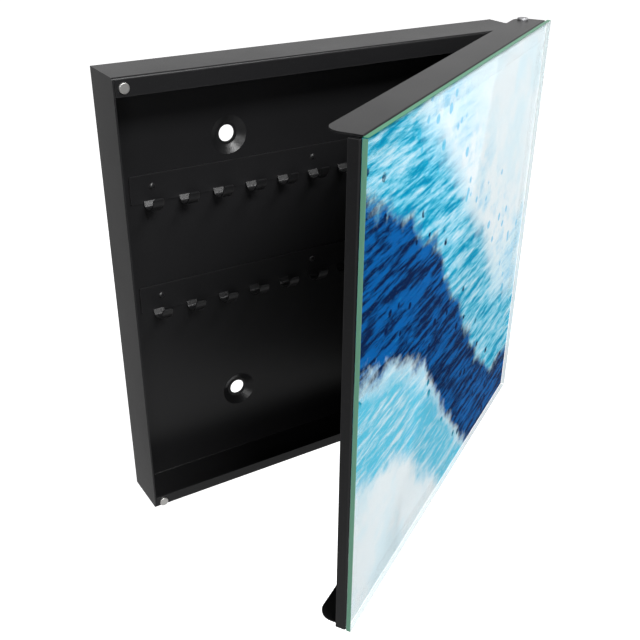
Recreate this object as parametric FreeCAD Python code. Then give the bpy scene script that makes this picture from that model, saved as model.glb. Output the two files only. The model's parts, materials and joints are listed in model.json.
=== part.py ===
# Wall-mounted key box with a magnetic glass-fronted door.
# Frame, in mm: +X to the right along the wall, +Y into the wall, +Z up.
# Origin: on the wall plane, at the centre of the four wall holes.
# The door is built closed and then turned to its rest pose about the hinge axis.

import os

import FreeCAD
import Part

V = FreeCAD.Vector
os.makedirs("parts", exist_ok=True)

# Case
CASE_WIDTH = 300.0
CASE_HEIGHT = 300.0
CASE_DEPTH = 36.4
CASE_SHEET = 1.0
CASE_BEND = 0.6
TOP_LIP = 10.9
BOTTOM_LIP = 8.1
LIP_END_GAP = 0.3

# Pressed dimples that stand the case off the wall, each with a wall hole
DIMPLE_DEPTH = 3.4
DIMPLE_RIM_R = 12.8
DIMPLE_SEAT_R = 7.5
DIMPLE_SOFT = 0.8
WALL_HOLE_R = 5.5
HOLE_SPACING_X = 126.0
HOLE_SPACING_Z = 194.0

# Hook rails
RAIL_FROM_SIDE = 16.4
RAIL_HEIGHT = 18.3
RAIL_SHEET = 1.0
RAIL_CORNER = 1.5
UPPER_RAIL_Z = 62.0
LOWER_RAIL_Z = -14.7

# Hooks, bent out of the rail between relief notches in its lower edge
HOOK_COUNT = 11
HOOK_PITCH = 24.3
HOOK_WIDTH = 7.3
HOOK_TIP_CORNER = 1.65
HOOK_RISE = 1.8
HOOK_RELIEF = 0.4
HOOK_ROOT_R = 1.5
HOOK_ROOT_ANGLE = 34.0
HOOK_NECK = 3.05
HOOK_HEEL_R = 2.5
HOOK_FLAT = 1.5
HOOK_BOWL_R = 11.5
HOOK_BOWL_ANGLE = 75.0
HOOK_LIP = 1.7

# Rail rivets
RIVET_SHANK_R = 1.3
RIVET_HEAD_R = 2.2
RIVET_HEAD_H = 1.1
RIVET_TAIL_R = 2.0
RIVET_TAIL_H = 0.7
RIVET_FROM_END = 14.8
RIVET_UP_RAIL = 10.3

# Magnets on the lips
MAGNET_R = 3.1
MAGNET_PROUD = 1.1
MAGNET_SOFT = 0.35
MAGNET_FROM_SIDE = 6.5
UPPER_MAGNET_DOWN = 6.1
LOWER_MAGNET_UP = 3.5

# Glass, film and tape
GLASS_THICK = 3.0
GLASS_CORNER = 1.0
GLASS_ARRIS = 0.25
FILM_THICK = 0.15
FILM_INSET = 0.5
TAPE_THICK = 0.2
TAPE_WIDTH = 12.0
TAPE_INSET = 2.0
TAPE_END_GAP = 1.0

# Door panel
DOOR_SHEET = 1.0
DOOR_BEND = 0.2
DOOR_END = 3.3
EAR_SETBACK = 3.4
FREE_OVERHANG = 1.35
FLANGE_REACH = 21.3
FLANGE_CORNER = 9.6
SIDE_OVERHANG = 0.4
SIDE_REACH = 6.5
CLOSED_GAP = 0.1
FLANGE_GAP = 1.2

# Hinge
PIVOT_FROM_GLASS_END = 8.95
PIVOT_FROM_REAR_EDGE = 6.33
PIVOT_OUTSIDE_CASE = 11.0
PIN_R = 2.0
PIN_RUNNING_FIT = 0.08
PIN_HEAD_R = 3.8
PIN_HEAD_H = 1.2
PIN_HEAD_SOFT = 0.5
PIN_TAIL = 2.2
HINGE_PLAY = 0.1
WASHER_R = 4.4
LUG_R = 5.0
LUG_ROOT_R = 1.5
RETAINER_R = 3.6
RETAINER_THICK = 0.5
RETAINER_SLOTS = 6
RETAINER_SLOT_W = 0.5
RETAINER_SLOT_DEEP = 0.9
OPEN_DEG = 31.81

# Positions that follow from the sizes above
BACK_OUT = -DIMPLE_DEPTH
BACK_IN = BACK_OUT - CASE_SHEET
CASE_FRONT = BACK_OUT - CASE_DEPTH
CASE_SIDE = CASE_WIDTH / 2
CASE_TOP = CASE_HEIGHT / 2
GLASS_BACK = GLASS_THICK
PANEL_FRONT = GLASS_BACK + FILM_THICK + TAPE_THICK
PANEL_BACK = PANEL_FRONT + DOOR_SHEET
FLANGE_REAR = PANEL_FRONT + FLANGE_REACH
DOOR_TOP = CASE_TOP + FLANGE_GAP + DOOR_SHEET
GLASS_HEIGHT = 2 * DOOR_TOP
GLASS_WIDTH = CASE_WIDTH + FREE_OVERHANG + PIVOT_OUTSIDE_CASE + PIVOT_FROM_GLASS_END
EAR_END = GLASS_WIDTH - EAR_SETBACK
RAIL_LENGTH = CASE_WIDTH - 2 * RAIL_FROM_SIDE
RIVET_SPACING = RAIL_LENGTH / 2 - RIVET_FROM_END
PIVOT_IN = FLANGE_REAR - PIVOT_FROM_REAR_EDGE
PIVOT_X = CASE_SIDE + PIVOT_OUTSIDE_CASE
GLASS_FRONT_Y = CASE_FRONT - MAGNET_PROUD - CLOSED_GAP - PANEL_BACK
PIVOT_Y = GLASS_FRONT_Y + PIVOT_IN
PIVOT = V(PIVOT_X, PIVOT_Y, 0)


def box(x0, x1, y0, y1, z0, z1):
    return Part.makeBox(x1 - x0, y1 - y0, z1 - z0, V(x0, y0, z0))


def rod(radius, start, end):
    line = end.sub(start)
    return Part.makeCylinder(radius, line.Length, start, line)


def edges_at(shape, test):
    # The straight edges whose two ends both pass the test.
    return [
        e
        for e in shape.Edges
        if len(e.Vertexes) == 2 and all(test(v.Point) for v in e.Vertexes)
    ]


def ring_edges(shape, radius, y):
    # The full circles of one radius, about a line along Y, that lie at one depth.
    found = []
    for e in shape.Edges:
        if e.Closed and hasattr(e.Curve, "Radius"):
            if abs(e.Curve.Radius - radius) < 1e-4 and abs(e.Curve.Center.y - y) < 1e-4:
                found.append(e)
    return found


def near(a, b):
    return abs(a - b) < 1e-5


def mirrored(shape):
    # The twin of a top piece, at the bottom.
    return shape.mirror(V(0, 0, 0), V(0, 0, 1))


def save(shape, name):
    shape.exportStep(f"parts/{name}.step")
    print(name, "valid" if shape.isValid() else "NOT VALID", len(shape.Solids), "solid(s)")


def wall_holes():
    return [
        (sx * HOLE_SPACING_X / 2, sz * HOLE_SPACING_Z / 2)
        for sx in (-1, 1)
        for sz in (-1, 1)
    ]


def rivet_xs():
    return [-RIVET_SPACING, 0.0, RIVET_SPACING]


def cone(x, z, r_start, y_start, r_end, y_end):
    return Part.makeCone(r_start, r_end, y_end - y_start, V(x, y_start, z), V(0, 1, 0))


def dimple_add(x, z):
    # Its wall-side surface runs one sheet behind the room-side surface.
    run = DIMPLE_RIM_R - DIMPLE_SEAT_R
    slope = (DIMPLE_DEPTH**2 + run**2) ** 0.5 / run
    shift = (slope - 1) * CASE_SHEET * run / DIMPLE_DEPTH
    return cone(x, z, DIMPLE_RIM_R + shift, BACK_OUT, DIMPLE_SEAT_R + shift, 0.0)


def dimple_cut(x, z):
    seat = -CASE_SHEET
    dish = cone(x, z, DIMPLE_RIM_R, BACK_IN, DIMPLE_SEAT_R, seat)
    return dish.fuse(rod(WALL_HOLE_R, V(x, seat, z), V(x, 1.0, z)))


def lug():
    z0 = CASE_TOP - CASE_SHEET
    arm = box(CASE_SIDE - CASE_SHEET, PIVOT_X, PIVOT_Y - LUG_R, PIVOT_Y + LUG_R, z0, CASE_TOP)
    return arm.fuse(rod(LUG_R, V(PIVOT_X, PIVOT_Y, z0), V(PIVOT_X, PIVOT_Y, CASE_TOP)))


def case_cavity():
    inner_x = CASE_SIDE - CASE_SHEET
    inner_z = CASE_TOP - CASE_SHEET
    lip_back = CASE_FRONT + CASE_SHEET
    room = box(-inner_x, inner_x, lip_back, BACK_IN, -inner_z, inner_z)
    at_back = edges_at(room, lambda p: near(p.y, BACK_IN))
    at_lips = edges_at(room, lambda p: near(p.y, lip_back) and near(abs(p.z), inner_z))
    along_lips = [e for e in at_lips if e.BoundBox.XLength > 1]
    room = room.makeFillet(CASE_BEND, at_back + along_lips)
    mouth_low = -CASE_TOP + BOTTOM_LIP
    mouth_high = CASE_TOP - TOP_LIP
    outside = CASE_FRONT - 1.0
    room = room.fuse(box(-inner_x, inner_x, outside, lip_back, mouth_low, mouth_high))
    for side in (-1, 1):
        edge = side * inner_x
        x0, x1 = sorted((edge, edge - side * LIP_END_GAP))
        room = room.fuse(box(x0, x1, outside, lip_back, -inner_z, inner_z))
    return room


def case_shell():
    outer = box(-CASE_SIDE, CASE_SIDE, CASE_FRONT, BACK_OUT, -CASE_TOP, CASE_TOP)
    bends = edges_at(outer, lambda p: near(p.y, BACK_OUT))
    fronts = edges_at(outer, lambda p: near(p.y, CASE_FRONT) and near(abs(p.z), CASE_TOP))
    bends += [e for e in fronts if e.BoundBox.XLength > 1]
    case = outer.makeFillet(CASE_SHEET + CASE_BEND, bends).cut(case_cavity())
    for x, z in wall_holes():
        case = case.fuse(dimple_add(x, z))
    for one in (lug(), mirrored(lug())):
        case = case.fuse(one)
    case = case.removeSplitter()
    root = edges_at(case, lambda p: near(p.x, CASE_SIDE) and near(abs(p.y - PIVOT_Y), LUG_R))
    case = case.makeFillet(LUG_ROOT_R, [e for e in root if near(e.Length, CASE_SHEET)])
    for x, z in wall_holes():
        case = case.cut(dimple_cut(x, z))
    case = case.cut(rod(PIN_R, V(PIVOT_X, PIVOT_Y, -DOOR_TOP), V(PIVOT_X, PIVOT_Y, DOOR_TOP)))
    for rail_z in (UPPER_RAIL_Z, LOWER_RAIL_Z):
        case = case.cut(rivet_bores(rail_z))
    return case.makeFillet(DIMPLE_SOFT, ring_edges(case, DIMPLE_RIM_R, BACK_IN))


def rivet_bores(rail_z):
    z = rail_z + RIVET_UP_RAIL
    return Part.makeCompound([rod(RIVET_SHANK_R, V(x, -50, z), V(x, 0, z)) for x in rivet_xs()])


def rivet(x, z):
    front = BACK_IN - RAIL_SHEET
    dome_r = (RIVET_HEAD_R**2 + RIVET_HEAD_H**2) / (2 * RIVET_HEAD_H)
    ball = Part.makeSphere(dome_r, V(x, front - RIVET_HEAD_H + dome_r, z))
    head = ball.common(rod(RIVET_HEAD_R + 1.0, V(x, front - RIVET_HEAD_H - 1.0, z), V(x, front, z)))
    shank = rod(RIVET_SHANK_R, V(x, front, z), V(x, BACK_OUT, z))
    tail = rod(RIVET_TAIL_R, V(x, BACK_OUT, z), V(x, BACK_OUT + RIVET_TAIL_H, z))
    return head.fuse(shank).fuse(tail)


def rail_rivets(rail_z):
    return Part.makeCompound([rivet(x, rail_z + RIVET_UP_RAIL) for x in rivet_xs()])


class BentStrip:
    # A strip of sheet in the YZ plane, followed along its middle line from bend to bend.
    def __init__(self, y, z, heading_deg, thick):
        self.y = y
        self.z = z
        self.heading = heading_deg
        self.half = thick / 2
        self.one_side = []
        self.other_side = []

    def edge_point(self, side):
        turn = FreeCAD.Rotation(V(1, 0, 0), self.heading).multVec(V(0, 0, side * self.half))
        return V(0, self.y, self.z).add(turn)

    def straight(self, length):
        starts = [self.edge_point(side) for side in (1, -1)]
        step = FreeCAD.Rotation(V(1, 0, 0), self.heading).multVec(V(0, length, 0))
        self.y += step.y
        self.z += step.z
        self.one_side.append(Part.makeLine(starts[0], self.edge_point(1)))
        self.other_side.append(Part.makeLine(starts[1], self.edge_point(-1)))

    def bend(self, radius, angle_deg):
        # A positive angle turns from +Y towards +Z.
        sign = 1 if angle_deg > 0 else -1
        normal = FreeCAD.Rotation(V(1, 0, 0), self.heading).multVec(V(0, 0, sign * radius))
        centre = V(0, self.y, self.z).add(normal)
        points = {1: [], -1: []}
        begin = self.heading
        for part in (0.0, 0.5, 1.0):
            self.heading = begin + part * angle_deg
            out = FreeCAD.Rotation(V(1, 0, 0), self.heading).multVec(V(0, 0, -sign * radius))
            spot = centre.add(out)
            self.y = spot.y
            self.z = spot.z
            for side in (1, -1):
                points[side].append(self.edge_point(side))
        self.one_side.append(Part.Arc(*points[1]).toShape())
        self.other_side.append(Part.Arc(*points[-1]).toShape())

    def solid(self, x, width):
        firsts = [self.one_side[0].Vertexes[0].Point, self.other_side[0].Vertexes[0].Point]
        lasts = [self.one_side[-1].Vertexes[-1].Point, self.other_side[-1].Vertexes[-1].Point]
        loop = self.one_side + self.other_side + [Part.makeLine(*firsts), Part.makeLine(*lasts)]
        face = Part.Face(Part.Wire(Part.__sortEdges__(loop)))
        face.translate(V(x, 0, 0))
        return face.extrude(V(width, 0, 0))


def hook(x, rail_z):
    # In a frame turned about Z so that the hook grows towards the room.
    overlap = HOOK_ROOT_R
    middle = BACK_IN - RAIL_SHEET / 2
    strip = BentStrip(-middle, rail_z + HOOK_RISE + overlap, -90.0, RAIL_SHEET)
    strip.straight(overlap)
    strip.bend(HOOK_ROOT_R, HOOK_ROOT_ANGLE)
    strip.straight(HOOK_NECK)
    strip.bend(HOOK_HEEL_R, 90.0 - HOOK_ROOT_ANGLE)
    strip.straight(HOOK_FLAT)
    strip.bend(HOOK_BOWL_R, HOOK_BOWL_ANGLE)
    strip.straight(HOOK_LIP)
    shape = strip.solid(-HOOK_WIDTH / 2, HOOK_WIDTH)
    tip = [V(sx * HOOK_WIDTH / 2, strip.y, strip.z) for sx in (-1, 1)]
    corners = [
        e
        for e in shape.Edges
        if near(e.Length, RAIL_SHEET) and min(e.CenterOfMass.distanceToPoint(t) for t in tip) < 0.01
    ]
    shape = shape.makeFillet(HOOK_TIP_CORNER, corners)
    shape.rotate(V(0, 0, 0), V(0, 0, 1), 180)
    shape.translate(V(x, 0, 0))
    return shape


def hook_rail(rail_z):
    half = RAIL_LENGTH / 2
    rail = box(-half, half, BACK_IN - RAIL_SHEET, BACK_IN, rail_z, rail_z + RAIL_HEIGHT)
    corners = [e for e in rail.Edges if near(e.Length, RAIL_SHEET)]
    rail = rail.makeFillet(RAIL_CORNER, corners)
    hook_xs = [(i - (HOOK_COUNT - 1) / 2) * HOOK_PITCH for i in range(HOOK_COUNT)]
    reach = HOOK_WIDTH / 2 + HOOK_RELIEF
    for x in hook_xs:
        front = BACK_IN - RAIL_SHEET
        rail = rail.cut(box(x - reach, x + reach, front, BACK_IN, rail_z, rail_z + HOOK_RISE))
    hooks = [hook(x, rail_z) for x in hook_xs]
    return rail.multiFuse(hooks).removeSplitter().cut(rivet_bores(rail_z))


def magnet(z):
    x = -CASE_SIDE + MAGNET_FROM_SIDE
    disc = rod(MAGNET_R, V(x, CASE_FRONT - MAGNET_PROUD, z), V(x, CASE_FRONT, z))
    return disc.makeFillet(MAGNET_SOFT, ring_edges(disc, MAGNET_R, CASE_FRONT - MAGNET_PROUD))


def door_box(a0, a1, b0, b1, z0, z1):
    # a runs from the glass's hinge-side end to its free end, b inwards from its outer face.
    right = PIVOT_X + PIVOT_FROM_GLASS_END
    return box(right - a1, right - a0, GLASS_FRONT_Y + b0, GLASS_FRONT_Y + b1, z0, z1)


def turned(shape):
    # From closed to the rest pose.
    shape.rotate(PIVOT, V(0, 0, 1), OPEN_DEG)
    return shape


def glass_pane():
    half = GLASS_HEIGHT / 2
    pane = door_box(0, GLASS_WIDTH, 0, GLASS_BACK, -half, half)
    pane = pane.makeFillet(GLASS_CORNER, [e for e in pane.Edges if near(e.Length, GLASS_THICK)])
    rims = [e for e in pane.Edges if near(e.BoundBox.YLength, 0)]
    return turned(pane.makeChamfer(GLASS_ARRIS, rims))


def print_film():
    half = GLASS_HEIGHT / 2 - FILM_INSET
    back = GLASS_BACK + FILM_THICK
    return turned(door_box(FILM_INSET, GLASS_WIDTH - FILM_INSET, GLASS_BACK, back, -half, half))


def tape_strips():
    b0 = GLASS_BACK + FILM_THICK
    low = DOOR_END + TAPE_INSET
    high = GLASS_WIDTH - TAPE_INSET
    top = GLASS_HEIGHT / 2 - TAPE_INSET
    side = top - TAPE_WIDTH - TAPE_END_GAP
    strips = {
        "tape_top": door_box(low, high, b0, PANEL_FRONT, top - TAPE_WIDTH, top),
        "tape_bottom": door_box(low, high, b0, PANEL_FRONT, -top, TAPE_WIDTH - top),
        "tape_hinge_side": door_box(low, low + TAPE_WIDTH, b0, PANEL_FRONT, -side, side),
        "tape_free_side": door_box(high - TAPE_WIDTH, high, b0, PANEL_FRONT, -side, side),
    }
    return {name: turned(strip) for name, strip in strips.items()}


def folded_channel():
    # The panel with its top and bottom flanges.
    rear = FLANGE_REAR
    outer = door_box(DOOR_END, EAR_END, PANEL_FRONT, rear, -DOOR_TOP, DOOR_TOP)
    front_y = GLASS_FRONT_Y + PANEL_FRONT
    folds = edges_at(outer, lambda p: near(p.y, front_y))
    folds = [e for e in folds if e.BoundBox.XLength > 1]
    outer = outer.makeFillet(DOOR_SHEET + DOOR_BEND, folds)
    inner_z = DOOR_TOP - DOOR_SHEET
    inner = door_box(DOOR_END - 1, EAR_END + 1, PANEL_BACK, rear + 1, -inner_z, inner_z)
    folds = edges_at(inner, lambda p: near(p.y, front_y + DOOR_SHEET))
    inner = inner.makeFillet(DOOR_BEND, [e for e in folds if e.BoundBox.XLength > 1])
    channel = outer.cut(inner)
    rear_y = GLASS_FRONT_Y + rear
    corners = edges_at(channel, lambda p: near(p.y, rear_y))
    return channel.makeFillet(FLANGE_CORNER, [e for e in corners if near(e.Length, DOOR_SHEET)])


def folded_side():
    # The shallow flange at the free side, stopped at the bends of the other two.
    end = GLASS_WIDTH + SIDE_OVERHANG
    half = DOOR_TOP - DOOR_SHEET - DOOR_BEND
    start = end - SIDE_REACH
    rear = PANEL_FRONT + SIDE_REACH
    outer = door_box(start, end, PANEL_FRONT, rear, -half, half)
    left_x = PIVOT_X + PIVOT_FROM_GLASS_END - end
    front_y = GLASS_FRONT_Y + PANEL_FRONT
    fold = edges_at(outer, lambda p: near(p.x, left_x) and near(p.y, front_y))
    outer = outer.makeFillet(DOOR_SHEET + DOOR_BEND, fold)
    inner = door_box(start - 1, end - DOOR_SHEET, PANEL_BACK, rear + 1, -half - 1, half + 1)
    fold = edges_at(
        inner, lambda p: near(p.x, left_x + DOOR_SHEET) and near(p.y, front_y + DOOR_SHEET)
    )
    return outer.cut(inner.makeFillet(DOOR_BEND, fold))


def door_panel():
    panel = folded_channel().fuse(folded_side()).removeSplitter()
    bore = PIN_R + PIN_RUNNING_FIT
    axis = rod(bore, PIVOT.sub(V(0, 0, DOOR_TOP + 1)), PIVOT.add(V(0, 0, DOOR_TOP + 1)))
    return turned(panel.cut(axis))


def on_axis(z):
    return V(PIVOT_X, PIVOT_Y, z)


def hinge_pin():
    # Headed above the flange, down through the washer and the lug.
    under_head = DOOR_TOP + HINGE_PLAY
    head = rod(PIN_HEAD_R, on_axis(under_head), on_axis(under_head + PIN_HEAD_H))
    top = [e for e in head.Edges if e.Closed and e.CenterOfMass.z > under_head + PIN_HEAD_H / 2]
    head = head.makeFillet(PIN_HEAD_SOFT, top)
    tail = CASE_TOP - CASE_SHEET - PIN_TAIL
    return head.fuse(rod(PIN_R, on_axis(tail), on_axis(under_head)))


def hinge_washer():
    top = CASE_TOP + FLANGE_GAP - HINGE_PLAY
    disc = rod(WASHER_R, on_axis(CASE_TOP), on_axis(top))
    return disc.cut(rod(PIN_R, on_axis(CASE_TOP), on_axis(top)))


def hinge_retainer():
    top = CASE_TOP - CASE_SHEET
    low = top - RETAINER_THICK
    ring = rod(RETAINER_R, on_axis(low), on_axis(top)).cut(rod(PIN_R, on_axis(low), on_axis(top)))
    for i in range(RETAINER_SLOTS):
        slot = box(0, PIN_R + RETAINER_SLOT_DEEP, -RETAINER_SLOT_W / 2, RETAINER_SLOT_W / 2, low, top)
        slot.rotate(V(0, 0, 0), V(0, 0, 1), i * 360.0 / RETAINER_SLOTS)
        slot.translate(on_axis(0))
        ring = ring.cut(slot)
    return ring


pieces = {
    "case_shell": case_shell(),
    "upper_hook_rail": hook_rail(UPPER_RAIL_Z),
    "lower_hook_rail": hook_rail(LOWER_RAIL_Z),
    "upper_rail_rivets": rail_rivets(UPPER_RAIL_Z),
    "lower_rail_rivets": rail_rivets(LOWER_RAIL_Z),
    "upper_magnet": magnet(CASE_TOP - UPPER_MAGNET_DOWN),
    "lower_magnet": magnet(-CASE_TOP + LOWER_MAGNET_UP),
    "glass_pane": glass_pane(),
    "print_film": print_film(),
    "door_panel": door_panel(),
    "upper_hinge_pin": hinge_pin(),
    "lower_hinge_pin": mirrored(hinge_pin()),
    "upper_hinge_washer": hinge_washer(),
    "lower_hinge_washer": mirrored(hinge_washer()),
    "upper_hinge_retainer": hinge_retainer(),
    "lower_hinge_retainer": mirrored(hinge_retainer()),
}
pieces.update(tape_strips())
for name, shape in pieces.items():
    save(shape, name)
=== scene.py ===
# %% [markdown]
# A wall key box with a glass-fronted door, dressed with finishes and lit on a pale studio floor.
# The solid parts come ready made from the imported frame, so this file mostly teaches materials:
# powder coat, glass with a green edge, a printed film, bright metal and foam tape.
# All lengths are in metres, and +Z is up. The wall would be at y = 0, and the room is towards -Y.

# %% Load the frame and bake its placement into the meshes
import json
import math

import bmesh
import bpy
from mathutils import Matrix, Vector

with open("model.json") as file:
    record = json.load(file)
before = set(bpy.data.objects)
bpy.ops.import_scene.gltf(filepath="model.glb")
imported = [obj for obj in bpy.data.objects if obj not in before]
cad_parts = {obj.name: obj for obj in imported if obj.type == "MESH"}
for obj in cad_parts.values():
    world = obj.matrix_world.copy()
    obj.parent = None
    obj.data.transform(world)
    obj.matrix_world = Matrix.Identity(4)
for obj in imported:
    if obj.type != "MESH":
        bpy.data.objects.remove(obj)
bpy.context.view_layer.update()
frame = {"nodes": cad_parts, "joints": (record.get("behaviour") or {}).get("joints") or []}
nodes = frame["nodes"]

# %% [markdown]
# Shader maths reads best as plain arithmetic. Each socket is wrapped in a small class, so that
# "0.3 + 0.2 * noise" adds the Math nodes by itself. Colours are mixed with a Mix node instead,
# because a Math node would turn them grey.


# %% A socket that can be added and multiplied
class Wave:
    def __init__(self, tree, socket):
        self.tree = tree
        self.socket = socket

    def math(self, operation, *values, clamp=False):
        node = self.tree.nodes.new("ShaderNodeMath")
        node.operation = operation
        node.use_clamp = clamp
        for place, value in enumerate((self, *values)):
            feed(self.tree, node.inputs[place], value)
        return Wave(self.tree, node.outputs[0])

    def __add__(self, other):
        return self.math("ADD", other)

    def __sub__(self, other):
        return self.math("SUBTRACT", other)

    def __mul__(self, other):
        return self.math("MULTIPLY", other)

    def __truediv__(self, other):
        return self.math("DIVIDE", other)

    def __rsub__(self, other):
        return (self * -1.0).math("ADD", other)

    __radd__ = __add__
    __rmul__ = __mul__

    def clamped(self):
        return self.math("ADD", 0.0, clamp=True)

    def step(self, low, high):
        # 0 below low and 1 above high, with a smooth ramp between them.
        node = self.tree.nodes.new("ShaderNodeMapRange")
        node.interpolation_type = "SMOOTHSTEP"
        for name, value in (("Value", self), ("From Min", low), ("From Max", high)):
            feed(self.tree, node.inputs[name], value)
        return Wave(self.tree, node.outputs["Result"])


def feed(tree, socket, value):
    if isinstance(value, Wave):
        tree.links.new(value.socket, socket)
    elif isinstance(value, bpy.types.NodeSocket):
        tree.links.new(value, socket)
    else:
        socket.default_value = value


# %% A finish, which holds one material and makes its nodes
class Finish:
    def __init__(self, name):
        self.material = bpy.data.materials.new(name)
        self.material.use_nodes = True
        self.tree = self.material.node_tree
        self.tree.nodes.clear()
        self.out = self.tree.nodes.new("ShaderNodeOutputMaterial")
        self.place = self.add("ShaderNodeTexCoord").outputs["Object"]

    def add(self, kind, settings=None, **values):
        node = self.tree.nodes.new(kind)
        for key, value in (settings or {}).items():
            setattr(node, key, value)
        for key, value in values.items():
            feed(self.tree, node.inputs[key.replace("_", " ")], value)
        return node

    def wave(self, socket):
        return Wave(self.tree, socket)

    def noise(self, scale, detail=3.0, rough=0.5, place=None):
        node = self.add("ShaderNodeTexNoise", Scale=scale, Detail=detail, Roughness=rough)
        feed(self.tree, node.inputs["Vector"], place or self.place)
        return self.wave(node.outputs["Fac"])

    def blend(self, share, first, second):
        node = self.add("ShaderNodeMix", {"data_type": "RGBA"})
        feed(self.tree, node.inputs["Factor"], share)
        colours = [s for s in node.inputs if s.type == "RGBA"]
        feed(self.tree, colours[0], first)
        feed(self.tree, colours[1], second)
        return next(s for s in node.outputs if s.type == "RGBA")

    def bump(self, height, depth, strength=1.0):
        node = self.add("ShaderNodeBump", Height=height, Distance=depth, Strength=strength)
        return node.outputs["Normal"]

    def surface(self, **values):
        node = self.add("ShaderNodeBsdfPrincipled", **values)
        self.tree.links.new(node.outputs["BSDF"], self.out.inputs["Surface"])
        return node


def dress(finish, *names):
    for name in names:
        mesh = nodes[name].data
        mesh.materials.clear()
        mesh.materials.append(finish.material)
    print(finish.material.name, "on", ", ".join(names))


# %% [markdown]
# The sheet metal is powder coated, in a near-black graphite. Powder coat is melted plastic dust:
# it has a fine pebbled skin, a soft sheen and a few pale specks. Every edge is painted paler, as a
# painted highlight along the edges. The pebbles are a fine noise in the bump, and the sheen varies in
# soft patches.

# %% Graphite powder coat
coat = Finish("graphite_powder_coat")
pebbles = coat.noise(2600.0, 2.0, 0.55)
patches = coat.noise(18.0, 3.0, 0.6)
specks = coat.noise(900.0, 1.0, 0.5).step(0.60, 0.75)
corner = coat.add("ShaderNodeBevel", {"samples": 4}, Radius=0.0008)
unbevelled_geometry = coat.add("ShaderNodeNewGeometry")
turned = coat.add("ShaderNodeVectorMath", {"operation": "DOT_PRODUCT"})
coat.tree.links.new(corner.outputs["Normal"], turned.inputs[0])
coat.tree.links.new(unbevelled_geometry.outputs["Normal"], turned.inputs[1])
# Painted highlight: every edge is painted paler, whichever way it faces.
painted_edge_highlight = coat.wave(turned.outputs["Value"]).step(0.995, 0.90)
graphite = (0.0075, 0.0075, 0.008, 1.0)
# This paler grey paints the edge highlight and also colours the random pale specks.
speck_and_edge_highlight_grey = (0.035, 0.035, 0.036, 1.0)
tint = coat.blend(0.25 * patches, graphite, (0.012, 0.012, 0.013, 1.0))
tint = coat.blend((0.35 * painted_edge_highlight + 0.12 * specks).clamped(), tint, speck_and_edge_highlight_grey)
coat.surface(
    Base_Color=tint,
    Roughness=0.30 + 0.08 * patches,
    Normal=coat.bump(pebbles, 0.00006, 0.5),
    Specular_IOR_Level=0.30,
)
dress(coat, "case_shell", "upper_hook_rail", "lower_hook_rail", "door_panel")
dress(coat, "upper_rail_rivets", "lower_rail_rivets")

# %% [markdown]
# The magnets are nickel-plated discs. Nickel is warmer and duller than chrome, and it picks up
# hairline scratches where the door touches it.

# %% Nickel plate
nickel = Finish("nickel_plate")
hairs = nickel.noise(1500.0, 4.0, 0.7)
cloud = nickel.noise(300.0, 2.0, 0.5)
nickel.surface(
    Base_Color=nickel.blend(cloud, (0.66, 0.65, 0.63, 1.0), (0.76, 0.75, 0.73, 1.0)),
    Metallic=1.0,
    Roughness=0.34 + 0.14 * hairs,
    Normal=nickel.bump(hairs, 0.00002, 0.4),
)
dress(nickel, "upper_magnet", "lower_magnet")

# %% Zinc-plated hinge pins and rings
zinc = Finish("zinc_plate")
turning = zinc.noise(2200.0, 3.0, 0.6)
zinc.surface(
    Base_Color=zinc.blend(turning, (0.52, 0.52, 0.53, 1.0), (0.62, 0.62, 0.64, 1.0)),
    Metallic=1.0,
    Roughness=0.55 + 0.14 * turning,
    Normal=zinc.bump(turning, 0.00002, 0.4),
)
dress(zinc, "upper_hinge_pin", "lower_hinge_pin", "upper_hinge_retainer", "lower_hinge_retainer")

# %% Black nylon washers
nylon = Finish("black_nylon")
skin = nylon.noise(1200.0, 2.0, 0.5)
nylon.surface(
    Base_Color=nylon.blend(skin, (0.012, 0.012, 0.013, 1.0), (0.022, 0.022, 0.023, 1.0)),
    Roughness=0.42 + 0.10 * skin,
    Normal=nylon.bump(skin, 0.00003, 0.4),
)
dress(nylon, "upper_hinge_washer", "lower_hinge_washer")

# %% [markdown]
# The tape between the glass and the door panel is black foam, full of small open cells. Its
# near-black edge draws the dark line round the glass, and that line also paints in the shade of the
# thin gap there.

# %% Black foam tape
foam = Finish("black_foam_tape")
cell = foam.add("ShaderNodeTexVoronoi", Scale=2400.0)
feed(foam.tree, cell.inputs["Vector"], foam.place)
cells = foam.wave(cell.outputs["Distance"])
# Partly painted shade: the near-black tape edge also stands for the shade in the gap behind the
# glass.
foam.surface(
    Base_Color=foam.blend(cells.clamped(), (0.010, 0.010, 0.010, 1.0), (0.024, 0.024, 0.024, 1.0)),
    Roughness=0.95,
    Normal=foam.bump(cells, 0.0001, 0.8),
)
dress(foam, "tape_top", "tape_bottom", "tape_hinge_side", "tape_free_side")

# %% [markdown]
# Patterns on the door need the door's own directions. The door rests part open, so a Mapping node
# turns the point back by that angle about the hinge: X then runs from the free edge to the hinge,
# and Z runs up. The nodes move with their body, so the pattern stays put as the door swings.

# %% The door's own coordinates
hinge = frame["joints"][0]
hinge_at = Vector(hinge["pos_m"])
open_deg = -hinge["range_deg"][0]
print("door rests open by", open_deg, "degrees about", tuple(hinge_at))


def door_place(finish):
    # A Mapping node turns first and then moves, so the hinge is turned before it is taken away.
    turn = Matrix.Rotation(-math.radians(open_deg), 3, "Z")
    to_door = finish.add("ShaderNodeMapping", {"vector_type": "POINT"}, Vector=finish.place)
    to_door.inputs["Rotation"].default_value = (0.0, 0.0, -math.radians(open_deg))
    to_door.inputs["Location"].default_value = -(turn @ hinge_at)
    split = finish.add("ShaderNodeSeparateXYZ", Vector=to_door.outputs["Vector"])
    axes = [finish.wave(split.outputs[name]) for name in "XYZ"]
    return to_door.outputs["Vector"], axes


glass_width, glass_height = 0.3213, 0.3044
hinge_to_glass_end = 0.00895

# %% [markdown]
# Float glass is almost clear through its face and green through its edge, because the light there
# has come a long way through the iron in it. A see-through face with a strong edge colour gives
# that without tracing light through the pane: Alpha is low on the face and full at the top rim and
# the free one. The other two are seen through the pane, where the picture behind makes them pale.

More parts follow.
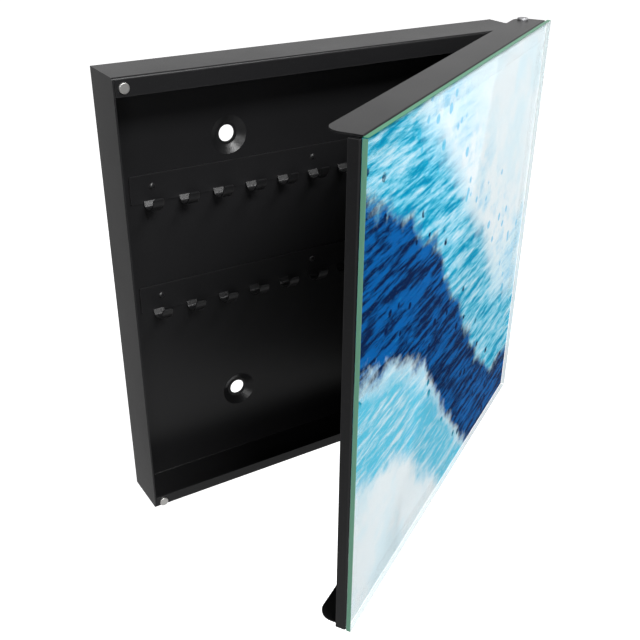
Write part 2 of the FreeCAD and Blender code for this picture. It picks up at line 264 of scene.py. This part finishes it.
# %% Clear glass with a green edge
glass = Finish("clear_glass")
_, (gx, _, gz) = door_place(glass)
from_hinge_end = hinge_to_glass_end - gx
from_free_end = glass_width - from_hinge_end
from_top = glass_height / 2 - gz
from_bottom = glass_height / 2 + gz
rim_depth = 0.0002
top_rim = from_top.step(rim_depth, rim_depth / 2)
free_rim = from_free_end.step(rim_depth, rim_depth / 2)
far_rim = from_hinge_end.math("MINIMUM", from_bottom).step(rim_depth, rim_depth / 2)
rim = top_rim.math("MAXIMUM", free_rim)
ripple = glass.noise(40.0, 2.0, 0.5)
green = glass.blend(top_rim, (0.09, 0.22, 0.15, 1.0), (0.012, 0.205, 0.09, 1.0))
green = glass.blend(0.4 * ripple, green, (0.09, 0.26, 0.17, 1.0))
face_alpha, far_alpha = 0.05, 0.70
face = glass.blend(far_rim, (0.02, 0.05, 0.04, 1.0), (0.42, 0.49, 0.50, 1.0))
glass.surface(
    Base_Color=glass.blend(rim, face, green),
    Alpha=(face_alpha + far_alpha * far_rim + (1.0 - face_alpha) * rim).clamped(),
    Roughness=0.04 + 0.26 * rim,
    IOR=1.52,
)
dress(glass, "glass_pane")

# %% [markdown]
# The picture on the glass is a printed film glued to its back. The design here is a plain wash made
# of noise and a sine: ribbons of turquoise and navy run down from the free edge to the hinge on a
# pale ground, like ink drawn across wet paper. Each ribbon is a smooth bump of one falling distance,
# and the noise that bends that distance gives it feathered, brushed borders.

# %% Printed film
film = Finish("printed_film")
spot, (fx, _, fz) = door_place(film)
along = fx + glass_width / 2 - hinge_to_glass_end
swell = film.noise(8.0, 4.0, 0.55, place=spot) - 0.5
feather = film.noise(42.0, 8.0, 0.70, place=spot) - 0.5
stretch = film.add("ShaderNodeMapping", Vector=spot)
stretch.inputs["Rotation"].default_value = (0.0, math.radians(-38.0), 0.0)
stretch.inputs["Scale"].default_value = (30.0, 30.0, 230.0)
strokes = film.noise(1.0, 6.0, 0.68, place=stretch.outputs["Vector"])
blots = film.add("ShaderNodeTexVoronoi", Scale=70.0, Vector=spot)
drops = film.wave(blots.outputs["Distance"]) + 0.5 * feather
slope, meander, meander_rate = 0.72, 0.022, 17.0
fall = fz + slope * along + meander * (along * meander_rate).math("SINE")
fall = fall + 0.10 * swell + 0.05 * feather


def ribbon(middle, half, soft):
    # 1 inside the ribbon and 0 outside it, with a soft border.
    return (fall - middle).math("ABSOLUTE").step(half + soft, half - soft)


def pair(low, high, first, second):
    # Two inks of one ribbon, streaked along the brush.
    return film.blend(strokes.step(low, high), first, second)


white = (0.80, 0.87, 0.90, 1.0)
mist = (0.62, 0.82, 0.90, 1.0)
sky_blue = (0.30, 0.62, 0.82, 1.0)
aqua = (0.006, 0.50, 0.72, 1.0)
teal = (0.002, 0.26, 0.46, 1.0)
blue = (0.002, 0.11, 0.38, 1.0)
navy = (0.002, 0.012, 0.065, 1.0)
wet = strokes.step(0.30, 0.60)
wash = (swell + feather).step(-0.12, 0.16)
paint = film.blend(0.55 * wash, white, mist)
haze = ribbon(0.105, 0.035, 0.030) * wash * 0.9
paint = film.blend(haze, paint, pair(0.4, 0.6, mist, sky_blue))
paint = film.blend(ribbon(0.095, 0.050, 0.004) * drops.step(0.22, 0.16), paint, sky_blue)
turquoise = ribbon(0.030, 0.040, 0.016) * (0.25 + 0.75 * wet)
paint = film.blend(turquoise, paint, pair(0.45, 0.66, aqua, teal))
paint = film.blend(ribbon(-0.045, 0.046, 0.008), paint, pair(0.42, 0.58, navy, blue))
paint = film.blend(ribbon(-0.045, 0.062, 0.004) * drops.step(0.20, 0.15), paint, navy)
low_turquoise = ribbon(-0.130, 0.034, 0.014) * (0.20 + 0.80 * wet)
paint = film.blend(low_turquoise, paint, pair(0.50, 0.70, aqua, sky_blue))
paint = film.blend(ribbon(-0.060, 0.030, 0.020) * strokes.step(0.66, 0.74), paint, aqua)
film.surface(
    Base_Color=paint,
    Roughness=0.45,
    Specular_IOR_Level=0.0,
    Coat_Weight=0.08,
    Coat_Roughness=0.03,
)
dress(film, "print_film")
print("film ribbons fall by", round(slope * glass_width, 3), "m over the width")

# %% [markdown]
# The stage is a pale floor in a white room. Camera rays see both as white, as in a catalogue picture,
# and the floor keeps the object's shadow. Black paint shows what it mirrors more than its own colour,
# so mirror rays see one soft gradient round the compass instead: white towards the back, where the
# camera looks, and dim on the other side. That is what makes the tops pale and the fronts dark.
# For mirror rays the floor also has a painted pool of light right in front of the object, where the
# lamps shine on it, and the low faces mirror that patch.


# %% The gradient round the compass
def towards_white(finish, place):
    # 1 in the directions behind the object and 0 in those in front of it.
    level = finish.add("ShaderNodeVectorMath", {"operation": "MULTIPLY"})
    feed(finish.tree, level.inputs[0], place)
    level.inputs[1].default_value = (1.0, 1.0, 0.0)
    compass = finish.add("ShaderNodeVectorMath", {"operation": "NORMALIZE"})
    feed(finish.tree, compass.inputs[0], level.outputs["Vector"])
    white_side = finish.add("ShaderNodeVectorMath", {"operation": "DOT_PRODUCT"})
    feed(finish.tree, white_side.inputs[0], compass.outputs["Vector"])
    white_side.inputs[1].default_value = (0.5, 0.866, 0.0)
    return finish.wave(white_side.outputs["Value"]).step(0.50, 0.92)


dim, full, lit_extra = 0.14, 0.95, 0.40

# %% Floor
floor_z, floor_half = -0.45, 6.0
left_side, lit_place = (-0.15, -0.02, 0.0), (-0.10, -0.45, floor_z)
paper = Finish("pale_paper")
from_box = paper.add("ShaderNodeVectorMath", {"operation": "SUBTRACT"})
feed(paper.tree, from_box.inputs[0], paper.place)
from_box.inputs[1].default_value = left_side
gradient = dim + (full - dim) * towards_white(paper, from_box.outputs["Vector"])
apart = paper.add("ShaderNodeVectorMath", {"operation": "DISTANCE"})
feed(paper.tree, apart.inputs[0], paper.place)
apart.inputs[1].default_value = lit_place
# Painted pool of light on the floor, seen only in mirror rays.
lit_patch = paper.wave(apart.outputs["Value"]).step(1.0, 0.3)
gradient = gradient + lit_extra * lit_patch
rays = paper.add("ShaderNodeLightPath")
by_camera = paper.wave(rays.outputs["Is Camera Ray"])
by_mirror = paper.wave(rays.outputs["Is Glossy Ray"]) + rays.outputs["Is Transmission Ray"]
plain = paper.add("ShaderNodeBsdfDiffuse", Color=(0.82, 0.82, 0.82, 1.0))
white_glow = paper.add("ShaderNodeEmission", Color=(1.0, 1.0, 1.0, 1.0), Strength=0.92)
both = paper.add("ShaderNodeAddShader")
paper.tree.links.new(plain.outputs[0], both.inputs[0])
paper.tree.links.new(white_glow.outputs[0], both.inputs[1])
room_side = paper.add("ShaderNodeEmission", Color=(1.0, 1.0, 1.0, 1.0), Strength=gradient)
mirror_pick = paper.add("ShaderNodeMixShader", Fac=by_mirror.clamped())
paper.tree.links.new(plain.outputs[0], mirror_pick.inputs[1])
paper.tree.links.new(room_side.outputs[0], mirror_pick.inputs[2])
camera_pick = paper.add("ShaderNodeMixShader", Fac=by_camera)
paper.tree.links.new(mirror_pick.outputs[0], camera_pick.inputs[1])
paper.tree.links.new(both.outputs[0], camera_pick.inputs[2])
paper.tree.links.new(camera_pick.outputs[0], paper.out.inputs["Surface"])

sheet = bmesh.new()
corners = [(-floor_half, -floor_half), (floor_half, -floor_half)]
corners += [(floor_half, floor_half), (-floor_half, floor_half)]
sheet.faces.new([sheet.verts.new((x, y, floor_z)) for x, y in corners])
floor_mesh = bpy.data.meshes.new("floor")
sheet.to_mesh(floor_mesh)
sheet.free()
floor = bpy.data.objects.new("floor", floor_mesh)
floor_mesh.materials.append(paper.material)
bpy.context.scene.collection.objects.link(floor)
print("floor at", floor_z, "m")


# %% Room
class Room(Finish):
    def __init__(self, name):
        self.world = bpy.data.worlds.new(name)
        self.world.use_nodes = True
        self.tree = self.world.node_tree
        self.tree.nodes.clear()
        self.out = self.tree.nodes.new("ShaderNodeOutputWorld")
        self.place = self.add("ShaderNodeTexCoord").outputs["Generated"]


room = Room("studio_room")
height = room.add("ShaderNodeSeparateXYZ", Vector=room.place).outputs["Z"]
bright = towards_white(room, room.place) * room.wave(height).step(0.62, 0.10)
room_light = dim + (full - dim) * bright
to_camera = room.wave(room.add("ShaderNodeLightPath").outputs["Is Camera Ray"])
strength = room_light.math("MAXIMUM", to_camera)
sky = room.add("ShaderNodeBackground", Color=(1.0, 1.0, 1.0, 1.0), Strength=strength)
room.tree.links.new(sky.outputs[0], room.out.inputs["Surface"])
bpy.context.scene.world = room.world
print("room:", dim, "in front,", full, "behind, and white to the camera")

# %% [markdown]
# The key light hangs in front and a little above, and is what shines in the pressed dimples. A
# weaker one to the left lifts the inside, and one overhead on the right draws the thin bright line
# along the top bend and lights the picture on the open door.


# %% Lamps
def lamp(name, place, target, width, height, power):
    data = bpy.data.lights.new(name, "AREA")
    data.shape = "RECTANGLE"
    data.size = width
    data.size_y = height
    data.energy = power
    made = bpy.data.objects.new(name, data)
    made.location = place
    towards = Vector(target) - Vector(place)
    made.rotation_euler = towards.to_track_quat("-Z", "Y").to_euler()
    bpy.context.scene.collection.objects.link(made)
    print(name, "at", place, power, "W")


lamp("key", (-0.08, -1.46, 1.28), (0.0, 0.0, 0.05), 0.7, 0.45, 38.0)
lamp("left", (-1.00, -1.95, 0.50), (0.0, 0.0, -0.05), 0.8, 0.6, 15.0)
lamp("over", (0.62, -0.95, 1.55), (0.0, -0.05, 0.05), 0.6, 0.4, 15.0)

# %% [markdown]
# The camera stands up and to the left, as in the picture. Its heading, pitch and roll were solved
# from the straight edges of the box, and the small lens shift frames the object as it is there.

# %% Camera
eye = Vector((-0.32268, -0.53312, 0.27162))
yaw, pitch, roll = (math.radians(a) for a in (-31.961, 30.139, 0.576))
focal_px, image_px = 918.93, 640.0
centre_px = (318.63, 356.65)
lens = bpy.data.cameras.new("camera")
lens.sensor_fit = "HORIZONTAL"
lens.sensor_width = 36.0
lens.lens = focal_px / image_px * lens.sensor_width
lens.shift_x = (image_px / 2 - centre_px[0]) / image_px
lens.shift_y = (centre_px[1] - image_px / 2) / image_px
camera = bpy.data.objects.new("camera", lens)
aim = Matrix.Rotation(yaw, 4, "Z") @ Matrix.Rotation(math.pi / 2 - pitch, 4, "X")
aim = aim @ Matrix.Rotation(roll, 4, "Z")
camera.matrix_world = Matrix.Translation(eye) @ aim
bpy.context.scene.collection.objects.link(camera)
bpy.context.scene.camera = camera
bpy.context.scene.view_settings.view_transform = "Standard"
print("lens", round(lens.lens, 2), "mm, shift", round(lens.shift_x, 4), round(lens.shift_y, 4))
